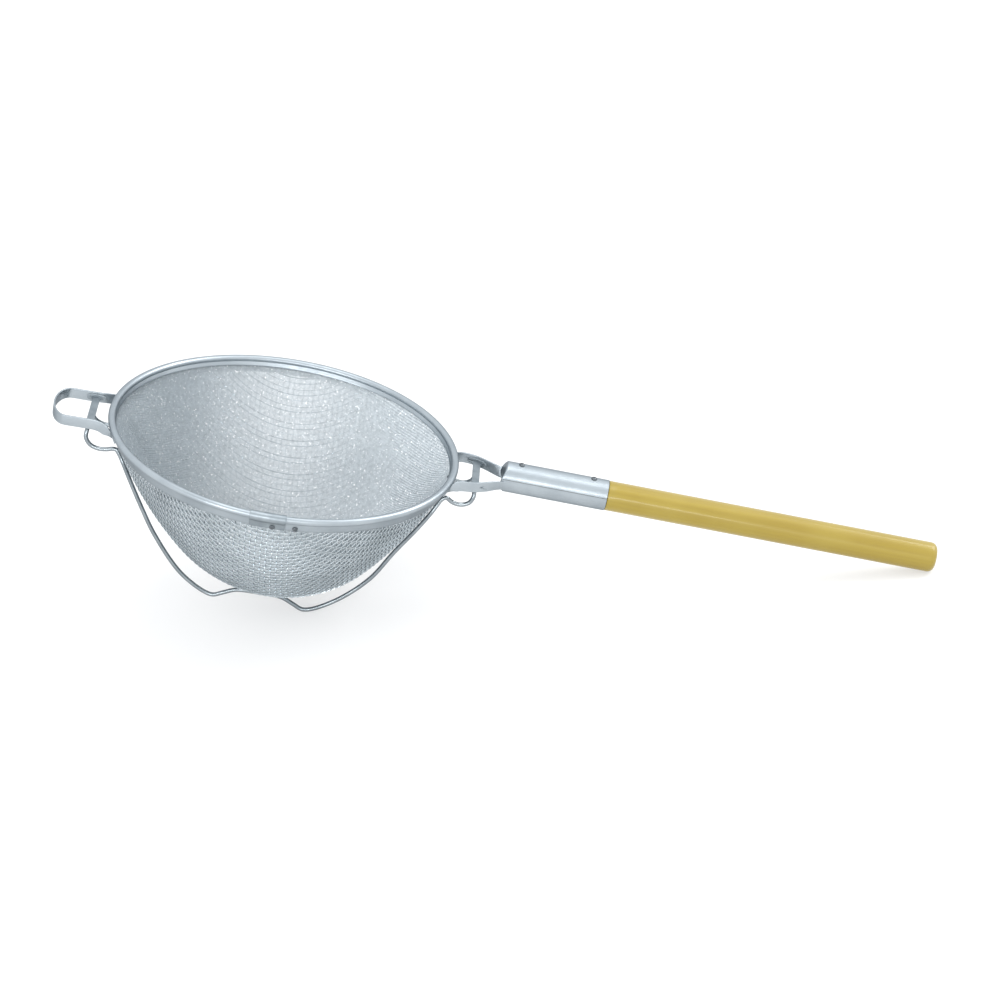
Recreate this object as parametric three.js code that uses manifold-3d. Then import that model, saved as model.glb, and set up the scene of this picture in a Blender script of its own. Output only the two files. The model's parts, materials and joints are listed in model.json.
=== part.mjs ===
// A double sieve strainer: a fine and a coarse woven-wire bowl, nested and held in one rolled rim band,
// with a hook strap in front, a sheet socket with a wooden handle behind, and a wire cradle with feet below.
// Millimetres, +Z up. The strainer is designed with its rim level (bowl frame: origin at the middle of
// the rim bead, +X toward the handle) and is then laid down the way it rests, on two feet and the handle end.
import * as THREE from "three";
import { mergeVertices } from "three/addons/utils/BufferGeometryUtils.js";
import Module from "manifold-3d";

const wasm = await Module();
wasm.setup();

// ---- Driving dimensions ----
const GAP = 0.3; // clearance between neighbouring pieces
const ROUND = 60; // flats around the rim and the bowls

const RIM_DIAMETER = 260;
const BEAD_RADIUS = 2.7; // rolled bead of the rim band, outside
const SHEET = 0.5; // rim band sheet
const SKIRT_LENGTH = 9.5; // outer skirt, from the bead's centre down the slope
const INNER_SKIRT_LENGTH = 5;
const SKIRT_OFFSET = 1.7; // outer face of each skirt from the middle of the throat
const RIM_WIRE_RADIUS = 1.85;

const BOWL_DEPTH = 118.5; // bead centre to the bottom
const THROAT_ANGLE = 24; // slope of the wall at the rim, degrees from upright
const LOWER_ANGLE = 40; // slope where the wall meets the round bottom
const BOTTOM_SHIFT = 6; // the hand-formed bottom lies this far toward the handle
const BOTTOM_CURL = 1.4; // power of the depth by which that shift grows
// Each woven bowl is a shell of its cloth's weight; these are its faces' offsets from the throat line.
const OUTER_SIEVE = { inside: 0.5, outside: 0.8 };
const INNER_SIEVE = { inside: -0.85, outside: -0.65 };
const SIEVE_TOP = 3; // woven edges end this far below the bead's centre

const CRADLE_WIRE_RADIUS = 1.6;
const CRADLE_SIDE = 24; // each cradle wire from the middle plane
const CRADLE_BOTTOM = -119; // the wire's middle below the bowl
const TIE_WIRE_LEVEL = -6.5; // the wire's middle below the ties
const STRAP = 1.2; // strap thickness of hook and socket legs
const STRAP_HEIGHT = 8;
const HOOK_ARM = 22.5; // each hook arm's middle from the middle plane
const HOOK_BEND = 159.5; // where the arms turn into the round end
const HOOK_REACH = 170.2; // middle of the strap at the tip
const FOOT_LENGTH = 10; // soldered feet of the straps along the band
const FOOT = { top: 3.4, edge: 0.8, lift: 0.05, sheet: 0.9 }; // down the slope, and out from the skirt
const HOOK_FOOT_SIDE = 28; // where the hook's flared arms reach the band, from the middle plane
const LEG_FOOT_SIDE = 24.4;
const TIE_SHEET = 0.8;
const TIE_WIDTH = 5.6;
const TIE_FILLET = 4;
const TIE_FLANGE = { length: 14, height: 5 };
const TIE_LEVEL = 4; // middle of the ties below the bead's centre
const HOOK_TIE_AT = 141.7;
const SOCKET_TIE_AT = 143.6;
const SOCKET_TIE_LIFT = 0.5; // the socket's tie above the hook's

const SOCKET_AT = 163.4; // front end of the socket tube
const SOCKET_LENGTH = 78;
const SOCKET_RADIUS = 11.4;
const SOCKET_SHEET = 0.7;
const SOCKET_SEAM_ANGLE = 77; // from the top toward the -Y side
const SEAM_GAP = 0.6;
const HANDLE_DROP = 1.41; // the handle axis falls away from the rim plane, degrees
const HANDLE_LEVEL = -1; // handle axis at the socket's front end
const HANDLE_END = 491;
const HANDLE_RADIUS = 11.1;
const HANDLE_ROUNDING = 5;
const WOOD_INSET = 5; // bare socket ahead of the wood
const NAIL_AT = [12, 66.3]; // from the socket's front end
const NAIL = { head: 2.2, dome: 1.1, shank: 0.9, depth: 9.5 };

const RIVET = { head: 2, dome: 1, shank: 0.8, tail: 1.4, tailHeight: 0.6 };
const RIVET_DOWN = 6.8; // rivets from the bead's centre down the slope
const HEAD_EDGE = 0.2; // upright edge of a rivet's or nail's head below its dome
const SPLICE = { from: -14.4, to: 11.5, sheet: 0.6, turn: 235, edge: 0.5 }; // along the front of the rim
const RIVETS = [
  { name: "splice_rivet_left", angle: -88.9, stack: 2.6 + GAP },
  { name: "splice_rivet_right", angle: -81.5, stack: SKIRT_OFFSET + GAP },
  { name: "socket_rivet", angle: -3.2, stack: SKIRT_OFFSET + GAP },
];

// ---- Materials, one for each mesh ----
const finish = (color, roughness, metalness) =>
  new THREE.MeshStandardMaterial({ color, roughness, metalness, flatShading: true });
const tinnedSheet = () => finish(0xb9c3ca, 0.38, 0.85);
const tinnedWire = () => finish(0xa9b3ba, 0.3, 0.9);
const wovenWire = (color) => finish(color, 0.45, 0.8);
const lacqueredWood = () => finish(0xcdac3e, 0.35, 0);

// ---- Solids ----
const degrees = THREE.MathUtils.degToRad;

function solid(geometry) {
  const bare = new THREE.BufferGeometry();
  bare.setAttribute("position", geometry.getAttribute("position"));
  if (geometry.index) bare.setIndex(geometry.index);
  const merged = mergeVertices(bare, 1e-4);
  return new wasm.Manifold(
    new wasm.Mesh({
      numProp: 3,
      vertProperties: merged.attributes.position.array,
      triVerts: new Uint32Array(merged.index.array),
    }),
  );
}

function geometryOf(manifold) {
  const { vertProperties, triVerts } = manifold.getMesh();
  const geometry = new THREE.BufferGeometry();
  geometry.setAttribute("position", new THREE.BufferAttribute(vertProperties, 3));
  geometry.setIndex(new THREE.BufferAttribute(triVerts, 1));
  return geometry;
}

function piece(name, shape, material) {
  const mesh = new THREE.Mesh(shape.getMesh ? geometryOf(shape) : shape, material);
  mesh.name = name;
  return mesh;
}

// ---- The rim's cross-section: (radius, height), measured from the bead's centre ----
const BEAD_CENTRE = new THREE.Vector2(RIM_DIAMETER / 2 - BEAD_RADIUS, 0);
const downSlope = (angle) => new THREE.Vector2(-Math.sin(angle), -Math.cos(angle));
const outFrom = (angle) => new THREE.Vector2(Math.cos(angle), -Math.sin(angle));
const STEEP = degrees(THROAT_ANGLE);
const SHALLOW = degrees(LOWER_ANGLE);

// A point `down` the slope from the bead's centre and `out` from the middle of the throat.
const throat = (down, out) =>
  BEAD_CENTRE.clone().addScaledVector(downSlope(STEEP), down).addScaledVector(outFrom(STEEP), out);

// Points around the bead, from one angle to another; 0 points down the slope and 90 outward.
function beadArc(radius, from, to, steps) {
  const points = [];
  for (let i = 0; i <= steps; i++) {
    const turn = degrees(from + ((to - from) * i) / steps);
    points.push(throat(radius * Math.cos(turn), radius * Math.sin(turn)));
  }
  return points;
}
const skirtTurn = (radius, out) => THREE.MathUtils.radToDeg(Math.asin(out / radius));

// A closed outline turned about the Z axis.
function turned(outline, segments = ROUND) {
  const closed = [...outline, outline[0]].map((p) => new THREE.Vector2(p.x, p.y));
  return new THREE.LatheGeometry(closed, segments).rotateX(Math.PI / 2);
}

// A rim cross-section carried along the rim between two angles, in degrees.
function alongRim(outline, from, to, steps) {
  const points = [];
  for (let i = 0; i <= steps; i++) {
    const turn = degrees(from + ((to - from) * i) / steps);
    points.push(new THREE.Vector3(BEAD_CENTRE.x * Math.cos(turn), BEAD_CENTRE.x * Math.sin(turn), 0));
  }
  const section = new THREE.Shape(
    outline.map((p) => new THREE.Vector2(-p.y, BEAD_CENTRE.x - p.x)),
  );
  return new THREE.ExtrudeGeometry(section, {
    steps,
    extrudePath: new THREE.CatmullRomCurve3(points),
  });
}

// ---- Rim band, rim wire and splice sleeve ----
const INNER_BEAD = BEAD_RADIUS - SHEET;
const SKIRT_INSIDE = SKIRT_OFFSET - SHEET;
const outerTurn = skirtTurn(BEAD_RADIUS, SKIRT_OFFSET);
const innerTurn = skirtTurn(INNER_BEAD, SKIRT_INSIDE);
const bandOutline = [
  throat(SKIRT_LENGTH, SKIRT_OFFSET),
  ...beadArc(BEAD_RADIUS, outerTurn, 360 - outerTurn, 6),
  throat(INNER_SKIRT_LENGTH, -SKIRT_OFFSET),
  throat(INNER_SKIRT_LENGTH, -SKIRT_INSIDE),
  ...beadArc(INNER_BEAD, 360 - innerTurn, innerTurn, 5),
  throat(SKIRT_LENGTH, SKIRT_INSIDE),
];

const SLEEVE_INSIDE = BEAD_RADIUS + GAP;
const SLEEVE_OUTSIDE = SLEEVE_INSIDE + SPLICE.sheet;
const sleeveOutline = [
  throat(SKIRT_LENGTH - SPLICE.edge, SKIRT_OFFSET + GAP + SPLICE.sheet),
  ...beadArc(SLEEVE_OUTSIDE, skirtTurn(SLEEVE_OUTSIDE, SKIRT_OFFSET + GAP + SPLICE.sheet), SPLICE.turn, 6),
  ...beadArc(SLEEVE_INSIDE, SPLICE.turn, skirtTurn(SLEEVE_INSIDE, SKIRT_OFFSET + GAP), 6),
  throat(SKIRT_LENGTH - SPLICE.edge, SKIRT_OFFSET + GAP),
];
const alongFront = (x) => THREE.MathUtils.radToDeg(x / BEAD_CENTRE.x) - 90;

// Everything within the clearance of the band's outside: straps end on it.
const ENVELOPE = { inside: RIM_DIAMETER / 2 - 20, top: 4, bottom: -14 };
const bandEnvelope = [
  throat(SKIRT_LENGTH + 5, SKIRT_OFFSET + GAP),
  ...beadArc(SLEEVE_INSIDE, skirtTurn(SLEEVE_INSIDE, SKIRT_OFFSET + GAP), 180, 6),
  new THREE.Vector2(ENVELOPE.inside, ENVELOPE.top),
  new THREE.Vector2(ENVELOPE.inside, ENVELOPE.bottom),
];

// ---- Woven bowls ----
// Below the skirts the wall is an arc of a large radius, and the bottom an arc of a smaller one that
// meets it smoothly and closes on the axis. Their two radii follow from the rim and the depth.
const wallTop = throat(SKIRT_LENGTH, 0);
const bowlRadii = (() => {
  const wallIn = Math.cos(STEEP) - Math.cos(SHALLOW);
  const bottomIn = Math.cos(SHALLOW);
  const wallDown = Math.sin(SHALLOW) - Math.sin(STEEP);
  const bottomDown = 1 - Math.sin(SHALLOW);
  const drop = BOWL_DEPTH + wallTop.y;
  const determinant = wallIn * bottomDown - bottomIn * wallDown;
  return {
    wall: (wallTop.x * bottomDown - bottomIn * drop) / determinant,
    bottom: (wallIn * drop - wallDown * wallTop.x) / determinant,
  };
})();
const wallCentre = wallTop.clone().addScaledVector(outFrom(STEEP), -bowlRadii.wall);
const bottomCentre = new THREE.Vector2(0, bowlRadii.bottom - BOWL_DEPTH);

// The bowl's profile at an offset from the throat line, from the rim down to the axis.
function bowlProfile(out) {
  const points = [throat(SIEVE_TOP, out), throat(SKIRT_LENGTH, out)];
  const arcs = [
    { centre: wallCentre, radius: bowlRadii.wall + out, from: STEEP, to: SHALLOW, steps: 4 },
    { centre: bottomCentre, radius: bowlRadii.bottom + out, from: SHALLOW, to: Math.PI / 2, steps: 6 },
  ];
  for (const { centre, radius, from, to, steps } of arcs) {
    for (let i = 1; i <= steps; i++) {
      const slope = from + ((to - from) * i) / steps;
      points.push(centre.clone().addScaledVector(outFrom(slope), radius));
    }
  }
  points.at(-1).x = 0;
  return points;
}

function sieve({ inside, outside }) {
  const outline = [...bowlProfile(outside).reverse(), ...bowlProfile(inside)];
  const geometry = new THREE.LatheGeometry(outline, ROUND).rotateX(Math.PI / 2);
  const position = geometry.getAttribute("position");
  for (let i = 0; i < position.count; i++) {
    const depth = Math.max(0, wallTop.y - position.getZ(i)) / (BOWL_DEPTH + wallTop.y);
    position.setX(i, position.getX(i) + BOTTOM_SHIFT * depth ** BOTTOM_CURL);
  }
  return geometry;
}

// ---- Straps: a centre line in the XY plane, thickened and given a height ----
function strip(line, thickness, bottom, top) {
  const side = (sign) =>
    line.map((p, i) => {
      const before = line[Math.max(i - 1, 0)];
      const after = line[Math.min(i + 1, line.length - 1)];
      const along = new THREE.Vector2().subVectors(after, before).normalize();
      return new THREE.Vector2(p.x - along.y * sign, p.y + along.x * sign);
    });
  const outline = [...side(thickness / 2), ...side(-thickness / 2).reverse()];
  return new THREE.ExtrudeGeometry(new THREE.Shape(outline), {
    depth: top - bottom,
    bevelEnabled: false,
  }).translate(0, 0, bottom);
}
const mirrored = (line) => line.map((p) => new THREE.Vector2(p.x, -p.y)).reverse();

// A strap's soldered foot: a strip on the band's outer skirt between two angles.
const FOOT_INSIDE = SKIRT_OFFSET + GAP + FOOT.lift;
const footOutline = [
  throat(SKIRT_LENGTH - FOOT.edge, FOOT_INSIDE),
  throat(SKIRT_LENGTH - FOOT.edge, FOOT_INSIDE + FOOT.sheet),
  throat(FOOT.top, FOOT_INSIDE + FOOT.sheet),
  throat(FOOT.top, FOOT_INSIDE),
];
function foot(side, towardHandle) {
  const start = THREE.MathUtils.radToDeg(Math.asin((side - STRAP / 2) / BEAD_CENTRE.x));
  const end = start + THREE.MathUtils.radToDeg(FOOT_LENGTH / BEAD_CENTRE.x);
  return towardHandle ? [start, end] : [180 - end, 180 - start];
}
function feet(side, towardHandle) {
  const [from, to] = foot(side, towardHandle);
  return solid(alongRim(footOutline, from, to, 3)).add(solid(alongRim(footOutline, -to, -from, 3)));
}

// A cross tie between two straps: a flat web with filleted ends, and a flange along each strap.
// `halfSpan(x)` is the inner face of the strap; the tie keeps the clearance to it.
function tie(at, halfSpan) {
  const reach = (x) => halfSpan(x) - GAP - TIE_SHEET / 2;
  const half = TIE_FLANGE.length / 2;
  const flangeLine = [];
  for (let i = 0; i <= 4; i++) {
    const x = at - half + (i * TIE_FLANGE.length) / 4;
    flangeLine.push(new THREE.Vector2(x, reach(x)));
  }
  const corner = (signX) => {
    const points = [];
    for (let i = 0; i <= 4; i++) {
      const turn = (i / 4) * (Math.PI / 2);
      const x = at + signX * (TIE_WIDTH / 2 + TIE_FILLET * (1 - Math.cos(turn)));
      points.push(new THREE.Vector2(x, reach(x) - TIE_FILLET * (1 - Math.sin(turn))));
    }
    return points;
  };
  const upper = [...corner(1), ...corner(-1).reverse()];
  const web = new THREE.ExtrudeGeometry(new THREE.Shape([...upper, ...mirrored(upper)]), {
    depth: TIE_SHEET,
    bevelEnabled: false,
  }).translate(0, 0, -TIE_LEVEL - TIE_SHEET / 2);
  const low = -TIE_LEVEL - TIE_FLANGE.height / 2;
  const flange = (line) => solid(strip(line, TIE_SHEET, low, low + TIE_FLANGE.height));
  return solid(web).add(flange(flangeLine)).add(flange(mirrored(flangeLine)));
}

// ---- Rivets and nails: turned pins, head up, along +Y ----
function pin(profile) {
  return new THREE.LatheGeometry(profile.map(([r, y]) => new THREE.Vector2(r, y)), 12);
}
function dome(radius, height, base) {
  const points = [];
  for (let i = 0; i <= 3; i++) {
    const turn = (i / 3) * (Math.PI / 2);
    points.push([radius * Math.cos(turn), base + height * Math.sin(turn)]);
  }
  points[3][0] = 0;
  return points;
}

// Places a pin drawn along +Y in the rim band, square to its skirts, at an angle around the rim.
function intoBand(geometry, angle) {
  const at = throat(RIVET_DOWN, 0);
  return geometry
    .rotateZ(-Math.PI / 2 - STEEP)
    .rotateX(Math.PI / 2)
    .translate(at.x, 0, at.y)
    .rotateZ(degrees(angle));
}
// A rivet's tail is spread against the fine cloth, just below the inner skirt.
function rivet({ angle, stack }) {
  const tail = INNER_SIEVE.inside - GAP;
  const profile = [
    [0, tail - RIVET.tailHeight],
    [RIVET.tail, tail - RIVET.tailHeight],
    [RIVET.tail, tail],
    [RIVET.shank, tail],
    [RIVET.shank, stack],
    [RIVET.head, stack],
    ...dome(RIVET.head, RIVET.dome, stack + HEAD_EDGE),
  ];
  return intoBand(pin(profile), angle);
}
const rivetHoles = RIVETS.map(({ angle }) =>
  solid(intoBand(new THREE.CylinderGeometry(RIVET.shank + GAP, RIVET.shank + GAP, 9, 12), angle)),
);
const drilled = (geometry) => rivetHoles.reduce((body, hole) => body.subtract(hole), solid(geometry));

// ---- The bowl group ----
const bowl = new THREE.Group();
bowl.add(
  piece("rim_wire", new THREE.TorusGeometry(BEAD_CENTRE.x, RIM_WIRE_RADIUS, 8, ROUND), tinnedWire()),
  piece("rim_band", drilled(turned(bandOutline)), tinnedSheet()),
  piece("outer_sieve", drilled(sieve(OUTER_SIEVE)), wovenWire(0xaeb7be)),
  piece("inner_sieve", drilled(sieve(INNER_SIEVE)), wovenWire(0xbcc5cb)),
  piece(
    "splice_sleeve",
    drilled(alongRim(sleeveOutline, alongFront(SPLICE.from), alongFront(SPLICE.to), 5)),
    tinnedSheet(),
  ),
);
for (const one of RIVETS) bowl.add(piece(one.name, rivet(one), tinnedWire()));

// ---- Front hook: one strap bent to a U; its arms flare at the band, and their feet are soldered to it ----
const strapEnvelope = solid(turned(bandEnvelope));
const hookFlare = [
  new THREE.Vector2(-121, 35),
  new THREE.Vector2(-124.4, 31.2),
  new THREE.Vector2(-127.4, HOOK_FOOT_SIDE),
  new THREE.Vector2(-131.4, 25),
  new THREE.Vector2(-135.8, 23.2),
  new THREE.Vector2(-141, HOOK_ARM),
];
const hookRound = [];
for (let i = 0; i <= 16; i++) {
  const turn = (i / 16) * Math.PI;
  const x = -HOOK_BEND - (HOOK_REACH - HOOK_BEND) * Math.sin(turn);
  hookRound.push(new THREE.Vector2(x, HOOK_ARM * Math.cos(turn)));
}
const hookLine = [...hookFlare, ...hookRound, ...mirrored(hookFlare)];
bowl.add(
  piece(
    "front_hook",
    solid(strip(hookLine, STRAP, -STRAP_HEIGHT, 0)).subtract(strapEnvelope).add(feet(HOOK_FOOT_SIDE, false)),
    tinnedSheet(),
  ),
  piece("hook_tie", tie(-HOOK_TIE_AT, () => HOOK_ARM - STRAP / 2), tinnedSheet()),
);

// ---- Wire cradle: one closed wire, hung on both ties, with four feet below the bowl ----
// Each half runs from the middle of the bottom, over a foot, up the wall, under the band and out to a tie.
const footHalf = [
  [17, CRADLE_SIDE, -119.7],
  [26, CRADLE_SIDE, -123.6],
  [33.5, CRADLE_SIDE, -126.9],
  [41, CRADLE_SIDE, -125.2],
];
const handleHalf = [
  ...footHalf,
  [60, CRADLE_SIDE, -112.6],
  [79.5, CRADLE_SIDE, -91.8],
  [93.4, CRADLE_SIDE, -66.8],
  [107.4, 23.5, -43.9],
  [115.4, 22, -29.8],
  [118.7, 20, -23.8],
  [121.2, 18.8, -19.4],
  [124.2, 18.2, -17.6],
  [129.6, 18, -20.6],
  [136, 18, -21.3],
  [141.6, 17.8, -18.7],
  [144, 17.2, -13.4],
  [143.8, 14.8, -9.4],
  [143.6, 9.5, -7.1],
];
const hookHalf = [
  ...footHalf,
  [60, CRADLE_SIDE, -112.8],
  [82.9, CRADLE_SIDE, -84.9],
  [94.4, CRADLE_SIDE, -65.7],
  [104.1, CRADLE_SIDE, -48],
  [113, 22.8, -31.6],
  [115.2, 21.6, -28.2],
  [117.5, 20.8, -24.8],
  [119.8, 20.2, -22.4],
  [122.8, 20, -22.4],
  [127.1, 20, -23.6],
  [133, 20, -24],
  [139, 20, -21.9],
  [142.9, 19.4, -16.8],
  [142.8, 16.8, -10.4],
  [142.6, 11, -7.3],
];
const place = (list, signX, signY) =>
  list.map(([x, y, z]) => new THREE.Vector3(signX * x, signY * y, z));
const cradlePath = new THREE.CatmullRomCurve3(
  [
    new THREE.Vector3(0, -CRADLE_SIDE, CRADLE_BOTTOM),
    ...place(handleHalf, 1, -1),
    new THREE.Vector3(handleHalf.at(-1)[0], 0, TIE_WIRE_LEVEL),
    ...place(handleHalf, 1, 1).reverse(),
    new THREE.Vector3(0, CRADLE_SIDE, CRADLE_BOTTOM),
    ...place(hookHalf, -1, 1),
    new THREE.Vector3(-hookHalf.at(-1)[0], 0, TIE_WIRE_LEVEL),
    ...place(hookHalf, -1, -1).reverse(),
  ],
  true,
);
bowl.add(
  piece("support_wire", new THREE.TubeGeometry(cradlePath, 180, CRADLE_WIRE_RADIUS, 8, true), tinnedWire()),
);

// ---- Handle group: +X along the handle's axis, from the front end of the socket ----
const handle = new THREE.Group();
handle.position.set(SOCKET_AT, 0, HANDLE_LEVEL);
handle.rotation.y = degrees(HANDLE_DROP);
handle.updateMatrix();
const fromBowl = handle.matrix.clone().invert();

// A sheet rolled to a tube, left open by the seam's gap.
function rolledTube() {
  const outline = [];
  const seamHalf = THREE.MathUtils.radToDeg(SEAM_GAP / 2 / SOCKET_RADIUS);
  const around = (radius, forward) => {
    for (let i = 0; i <= 28; i++) {
      const part = forward ? i / 28 : 1 - i / 28;
      const turn = degrees(SOCKET_SEAM_ANGLE + seamHalf + part * (360 - 2 * seamHalf));
      outline.push(new THREE.Vector2(-radius * Math.cos(turn), -radius * Math.sin(turn)));
    }
  };
  around(SOCKET_RADIUS, true);
  around(SOCKET_RADIUS - SOCKET_SHEET, false);
  return new THREE.ExtrudeGeometry(new THREE.Shape(outline), {
    depth: SOCKET_LENGTH,
    bevelEnabled: false,
  }).rotateY(Math.PI / 2);
}

// The two legs swing in from the band to the sides of the tube.
const legCurve = new THREE.SplineCurve([
  new THREE.Vector2(-46, 25.6),
  new THREE.Vector2(-33, 24),
  new THREE.Vector2(-20, 21.6),
  new THREE.Vector2(-7, 14.6),
  new THREE.Vector2(0, 11.5),
  new THREE.Vector2(3, SOCKET_RADIUS - SOCKET_SHEET / 2),
]);
const legLine = legCurve.getPoints(20);
const legAt = (x) => {
  const i = legLine.findIndex((p) => p.x > x);
  const [a, b] = [legLine[i - 1], legLine[i]];
  return THREE.MathUtils.mapLinear(x, a.x, b.x, a.y, b.y);
};
const LEG_TOP = 1; // above the handle's axis
const leg = (line) => solid(strip(line, STRAP, LEG_TOP - STRAP_HEIGHT, LEG_TOP));
const nailHoles = NAIL_AT.map((x) =>
  solid(
    new THREE.CylinderGeometry(NAIL.shank + GAP, NAIL.shank + GAP, 12, 12)
      .rotateX(Math.PI / 2)
      .translate(x, 0, SOCKET_RADIUS - 4),
  ),
);
const nailed = (body) => nailHoles.reduce((rest, hole) => rest.subtract(hole), body);
const legEnvelope = solid(turned(bandEnvelope).applyMatrix4(fromBowl));
const socketFeet = solid(geometryOf(feet(LEG_FOOT_SIDE, true)).applyMatrix4(fromBowl));
const socket = nailed(solid(rolledTube()))
  .add(leg(legLine).subtract(legEnvelope))
  .add(leg(mirrored(legLine)).subtract(legEnvelope))
  .add(socketFeet);

// The turned wood: a neck inside the socket, a shoulder behind it and a rounded end with a flat face.
function turnedWood() {
  const neck = SOCKET_RADIUS - SOCKET_SHEET - GAP;
  const end = HANDLE_END - SOCKET_AT;
  const profile = [
    [0, WOOD_INSET],
    [neck, WOOD_INSET],
    [neck, SOCKET_LENGTH + GAP],
    [HANDLE_RADIUS, SOCKET_LENGTH + GAP],
  ];
  for (let i = 0; i <= 5; i++) {
    const turn = (i / 5) * (Math.PI / 2);
    profile.push([
      HANDLE_RADIUS - HANDLE_ROUNDING * (1 - Math.cos(turn)),
      end - HANDLE_ROUNDING * (1 - Math.sin(turn)),
    ]);
  }
  profile.push([0, end]);
  return new THREE.LatheGeometry(profile.map(([r, x]) => new THREE.Vector2(r, x)), 32).rotateZ(-Math.PI / 2);
}

function nail(x) {
  const base = SOCKET_RADIUS + GAP;
  const profile = [
    [0, base - NAIL.depth],
    [NAIL.shank, base - NAIL.depth + 2],
    [NAIL.shank, base],
    [NAIL.head, base],
    ...dome(NAIL.head, NAIL.dome, base + HEAD_EDGE),
  ];
  return pin(profile).rotateX(Math.PI / 2).translate(x, 0, 0);
}

handle.add(
  piece("handle_socket", socket, tinnedSheet()),
  piece("handle", nailed(solid(turnedWood())), lacqueredWood()),
  piece("socket_nail_front", nail(NAIL_AT[0]), tinnedWire()),
  piece("socket_nail_rear", nail(NAIL_AT[1]), tinnedWire()),
  piece(
    "socket_tie",
    solid(
      geometryOf(tie(SOCKET_TIE_AT - SOCKET_AT, (x) => legAt(x) - STRAP / 2)).translate(
        0,
        0,
        SOCKET_TIE_LIFT,
      ),
    ),
    tinnedSheet(),
  ),
);
bowl.add(handle);

// ---- Resting pose: turned down toward the handle until two feet and the handle's end touch together ----
const endCorner = new THREE.Vector3(
  HANDLE_END - SOCKET_AT - HANDLE_ROUNDING,
  0,
  HANDLE_ROUNDING - HANDLE_RADIUS,
).applyMatrix4(handle.matrix);
const heightAt = (point, tilt) => point.z * Math.cos(tilt) - point.x * Math.sin(tilt);
const cradlePoints = cradlePath.getSpacedPoints(600);
let [level, steep] = [0, degrees(30)];
while (steep - level > 1e-7) {
  const tilt = (level + steep) / 2;
  const wire = Math.min(...cradlePoints.map((p) => heightAt(p, tilt))) - CRADLE_WIRE_RADIUS;
  if (wire < heightAt(endCorner, tilt) - HANDLE_ROUNDING) level = tilt;
  else steep = tilt;
}
bowl.rotation.y = level;

const strainer = new THREE.Group();
strainer.add(bowl);
strainer.updateMatrixWorld(true);
const box = new THREE.Box3().setFromObject(strainer, true);
bowl.position.set(-(box.min.x + box.max.x) / 2, 0, -box.min.z);

export default strainer;
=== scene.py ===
import json
import math

import bpy
import numpy as np
from mathutils import Matrix, Vector


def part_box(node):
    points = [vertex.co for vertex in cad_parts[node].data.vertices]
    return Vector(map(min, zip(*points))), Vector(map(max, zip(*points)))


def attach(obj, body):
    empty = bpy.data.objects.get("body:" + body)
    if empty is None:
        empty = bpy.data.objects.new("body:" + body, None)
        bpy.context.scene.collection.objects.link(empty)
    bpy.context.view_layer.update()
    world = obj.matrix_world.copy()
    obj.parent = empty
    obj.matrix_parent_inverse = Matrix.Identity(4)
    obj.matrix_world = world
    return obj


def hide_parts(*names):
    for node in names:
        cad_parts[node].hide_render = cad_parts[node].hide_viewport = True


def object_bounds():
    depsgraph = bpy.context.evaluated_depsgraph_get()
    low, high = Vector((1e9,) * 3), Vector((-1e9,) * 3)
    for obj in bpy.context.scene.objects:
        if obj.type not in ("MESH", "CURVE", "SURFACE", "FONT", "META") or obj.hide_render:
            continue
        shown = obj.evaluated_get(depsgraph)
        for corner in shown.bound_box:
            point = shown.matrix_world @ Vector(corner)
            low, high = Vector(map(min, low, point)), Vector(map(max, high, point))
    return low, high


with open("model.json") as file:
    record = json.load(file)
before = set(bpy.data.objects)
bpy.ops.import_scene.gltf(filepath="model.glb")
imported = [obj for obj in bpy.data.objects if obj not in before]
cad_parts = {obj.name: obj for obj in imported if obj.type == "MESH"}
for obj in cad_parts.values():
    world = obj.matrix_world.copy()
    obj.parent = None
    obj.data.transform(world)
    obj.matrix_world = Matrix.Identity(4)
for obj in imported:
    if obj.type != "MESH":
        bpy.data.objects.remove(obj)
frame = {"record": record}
cad_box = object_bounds()
scene = bpy.context.scene


# ---- Camera ----
# A long lens looks down on the strainer from its near side, a little tipped toward the handle, and takes in
# the whole of it. It aims just below the middle of the strainer's box.
VIEW_AZIMUTH, VIEW_ELEVATION, VIEW_ROLL = np.radians((3.61, 27.25, 4.16))
VIEW_DISTANCE = 2.807
VIEW_LENS, SENSOR_WIDTH = 136.4, 36
FARTHEST_SEEN = 60
AIM_FROM_MIDDLE = (0.0009, 0.0, -0.0129)


def camera_turn(azimuth, elevation, roll):
    """Columns right, up and back: the level view from that azimuth and elevation, rolled about its own
    direction."""
    forward = np.array((
        -math.sin(azimuth) * math.cos(elevation),
        math.cos(azimuth) * math.cos(elevation),
        -math.sin(elevation),
    ))
    level = np.array((math.cos(azimuth), math.sin(azimuth), 0.0))
    above = np.cross(level, forward)
    right = level * math.cos(roll) - above * math.sin(roll)
    up = above * math.cos(roll) + level * math.sin(roll)
    return np.column_stack([right, up, -forward])


turn = camera_turn(VIEW_AZIMUTH, VIEW_ELEVATION, VIEW_ROLL)
aim = (np.array(cad_box[0]) + np.array(cad_box[1])) / 2 + AIM_FROM_MIDDLE
camera = bpy.data.objects.new("camera", bpy.data.cameras.new("camera"))
camera.data.lens = VIEW_LENS
camera.data.sensor_width = SENSOR_WIDTH
camera.data.clip_end = FARTHEST_SEEN
stand = aim + turn[:, 2] * VIEW_DISTANCE
camera.matrix_world = Matrix.LocRotScale(stand, Matrix(turn).to_quaternion(), None)
scene.collection.objects.link(camera)
scene.camera = camera


# ---- Rim wire ----
# A drawn and tinned wire bent to a hoop. It is made first, and the band, the cloths and the straps are all
# gathered on it: the band is rolled round it, so it shows only in the slot between the skirts.
RIM_DIAMETER = 0.260
BEAD_RADIUS = 0.0027
RIM_WIRE_RADIUS = 0.00185
ROUND_STEPS = 288
CREASE = math.radians(40)
bead_circle = RIM_DIAMETER / 2 - BEAD_RADIUS

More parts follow.
